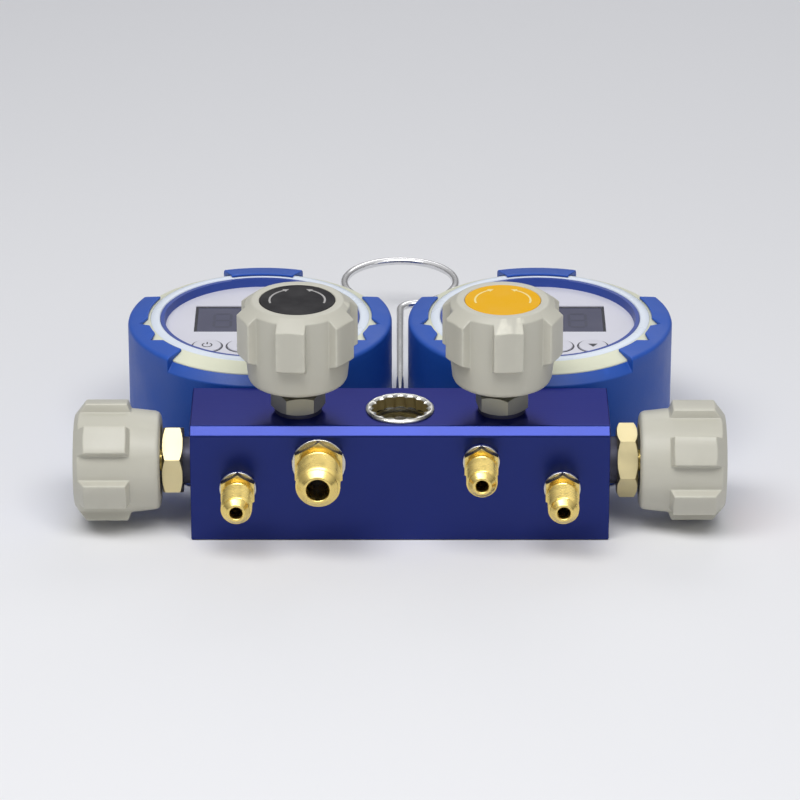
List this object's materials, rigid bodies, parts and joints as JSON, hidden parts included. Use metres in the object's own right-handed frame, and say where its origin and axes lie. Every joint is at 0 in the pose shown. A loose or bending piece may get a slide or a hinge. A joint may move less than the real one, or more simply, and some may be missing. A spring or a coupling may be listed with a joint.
{
  "type": "digital refrigerant manifold gauge",
  "caption": "Valve manifold with twin round digital gauges in rubber boots, lobed knobs, flare hose ports, a sight glass and a wire hanging hook.",
  "frame": {"origin": "middle of the valve block's back face, on the surface that the manifold lies on", "axes": "+X right along the block, +Y towards the hanging hook, +Z out of the gauge faces"},
  "size_m": [0.234, 0.2295, 0.087],
  "materials": {
    "blue_anodising": "satin anodised",
    "brass": "machined",
    "nickel": "nickel plated",
    "steel_wire": "bright wire",
    "screw_steel": "zinc plated",
    "knob_plastic": "moulded grey",
    "black_disc": "printed",
    "yellow_disc": "printed",
    "blue_disc": "printed",
    "red_disc": "printed",
    "boot_rubber": "moulded blue rubber",
    "housing_plastic": "moulded off-white",
    "bezel_plastic": "pale bluish white",
    "liner_plastic": "moulded blue",
    "face_plastic": "printed panel",
    "display": "unlit liquid crystal display",
    "button_plastic": "printed key",
    "board": "circuit board",
    "cell_wrap": "battery wrap",
    "white_ptfe": "PTFE",
    "black_rubber": "nitrile",
    "clear_glass": "polished"
  },
  "bodies": {
    "manifold": {"battery_cells": "cell_wrap", "charging_bonnet": "nickel", "charging_port": "brass", "high_bonnet": "nickel", "high_port": "brass", "hook_bush": "brass", "housing_screws": "screw_steel", "left_battery_cover": "housing_plastic", "left_bezel": "bezel_plastic", "left_boot": "boot_rubber", "left_circuit_board": "board", "left_face_panel": "face_plastic", "left_housing": "housing_plastic", "left_lcd": "display", "left_liner": "liner_plastic", "left_pressure_sensor": "brass", "low_bonnet": "nickel", "low_port": "brass", "manifold_block": "blue_anodising", "port_washers": "nickel", "right_battery_cover": "housing_plastic", "right_bezel": "bezel_plastic", "right_boot": "boot_rubber", "right_circuit_board": "board", "right_face_panel": "face_plastic", "right_housing": "housing_plastic", "right_lcd": "display", "right_liner": "liner_plastic", "right_pressure_sensor": "brass", "seal_rings": "black_rubber", "sight_glass_lens": "clear_glass", "sight_glass_ring": "nickel", "vacuum_bonnet": "nickel", "vacuum_port": "brass"},
    "hook": {"hook": "steel_wire"},
    "low_piston": {"low_piston": "white_ptfe"},
    "low_handwheel": {"low_stem": "brass", "low_knob": "knob_plastic", "low_disc": "blue_disc"},
    "high_piston": {"high_piston": "white_ptfe"},
    "high_handwheel": {"high_stem": "brass", "high_knob": "knob_plastic", "high_disc": "red_disc"},
    "vacuum_piston": {"vacuum_piston": "white_ptfe"},
    "vacuum_handwheel": {"vacuum_stem": "brass", "vacuum_knob": "knob_plastic", "vacuum_disc": "black_disc"},
    "charging_piston": {"charging_piston": "white_ptfe"},
    "charging_handwheel": {"charging_stem": "brass", "charging_knob": "knob_plastic", "charging_disc": "yellow_disc"},
    "left_power_button": {"left_power_button": "button_plastic"},
    "left_mode_button": {"left_mode_button": "button_plastic"},
    "left_up_button": {"left_up_button": "button_plastic"},
    "left_down_button": {"left_down_button": "button_plastic"},
    "right_power_button": {"right_power_button": "button_plastic"},
    "right_mode_button": {"right_mode_button": "button_plastic"},
    "right_up_button": {"right_up_button": "button_plastic"},
    "right_down_button": {"right_down_button": "button_plastic"}
  },
  "joints": [
    {"name": "low_valve_lift", "type": "slide", "parent": "manifold", "child": "low_piston", "axis": [-1, 0, 0], "range_m": [0, 0.003]},
    {"name": "low_valve_turn", "type": "hinge", "parent": "low_piston", "child": "low_handwheel", "pos_m": [-0.075, 0, 0.024], "axis": [-1, 0, 0], "range_deg": [0, 720]},
    {"name": "high_valve_lift", "type": "slide", "parent": "manifold", "child": "high_piston", "axis": [1, 0, 0], "range_m": [0, 0.003]},
    {"name": "high_valve_turn", "type": "hinge", "parent": "high_piston", "child": "high_handwheel", "pos_m": [0.075, 0, 0.024], "axis": [1, 0, 0], "range_deg": [0, 720]},
    {"name": "vacuum_valve_lift", "type": "slide", "parent": "manifold", "child": "vacuum_piston", "axis": [0, 0, 1], "range_m": [0, 0.003]},
    {"name": "vacuum_valve_turn", "type": "hinge", "parent": "vacuum_piston", "child": "vacuum_handwheel", "pos_m": [-0.0365, 0, 0.044], "axis": [0, 0, 1], "range_deg": [0, 720]},
    {"name": "charging_valve_lift", "type": "slide", "parent": "manifold", "child": "charging_piston", "axis": [0, 0, 1], "range_m": [0, 0.003]},
    {"name": "charging_valve_turn", "type": "hinge", "parent": "charging_piston", "child": "charging_handwheel", "pos_m": [0.0365, 0, 0.044], "axis": [0, 0, 1], "range_deg": [0, 720]},
    {"name": "left_power_press", "type": "slide", "parent": "manifold", "child": "left_power_button", "axis": [0, 0, -1], "range_m": [0, 0.0005], "stiffness_N_per_m": 200},
    {"name": "left_mode_press", "type": "slide", "parent": "manifold", "child": "left_mode_button", "axis": [0, 0, -1], "range_m": [0, 0.0005], "stiffness_N_per_m": 200},
    {"name": "left_up_press", "type": "slide", "parent": "manifold", "child": "left_up_button", "axis": [0, 0, -1], "range_m": [0, 0.0005], "stiffness_N_per_m": 200},
    {"name": "left_down_press", "type": "slide", "parent": "manifold", "child": "left_down_button", "axis": [0, 0, -1], "range_m": [0, 0.0005], "stiffness_N_per_m": 200},
    {"name": "right_power_press", "type": "slide", "parent": "manifold", "child": "right_power_button", "axis": [0, 0, -1], "range_m": [0, 0.0005], "stiffness_N_per_m": 200},
    {"name": "right_mode_press", "type": "slide", "parent": "manifold", "child": "right_mode_button", "axis": [0, 0, -1], "range_m": [0, 0.0005], "stiffness_N_per_m": 200},
    {"name": "right_up_press", "type": "slide", "parent": "manifold", "child": "right_up_button", "axis": [0, 0, -1], "range_m": [0, 0.0005], "stiffness_N_per_m": 200},
    {"name": "right_down_press", "type": "slide", "parent": "manifold", "child": "right_down_button", "axis": [0, 0, -1], "range_m": [0, 0.0005], "stiffness_N_per_m": 200},
    {"name": "hook_swivel", "type": "hinge", "parent": "manifold", "child": "hook", "pos_m": [0, 0.019, 0.022], "axis": [0, 1, 0], "continuous": true}
  ],
  "couplings": [
    {"joint": "low_valve_lift", "follows": "low_valve_turn", "m_per_rad": 0.00023873},
    {"joint": "high_valve_lift", "follows": "high_valve_turn", "m_per_rad": 0.00023873},
    {"joint": "vacuum_valve_lift", "follows": "vacuum_valve_turn", "m_per_rad": 0.00023873},
    {"joint": "charging_valve_lift", "follows": "charging_valve_turn", "m_per_rad": 0.00023873}
  ]
}
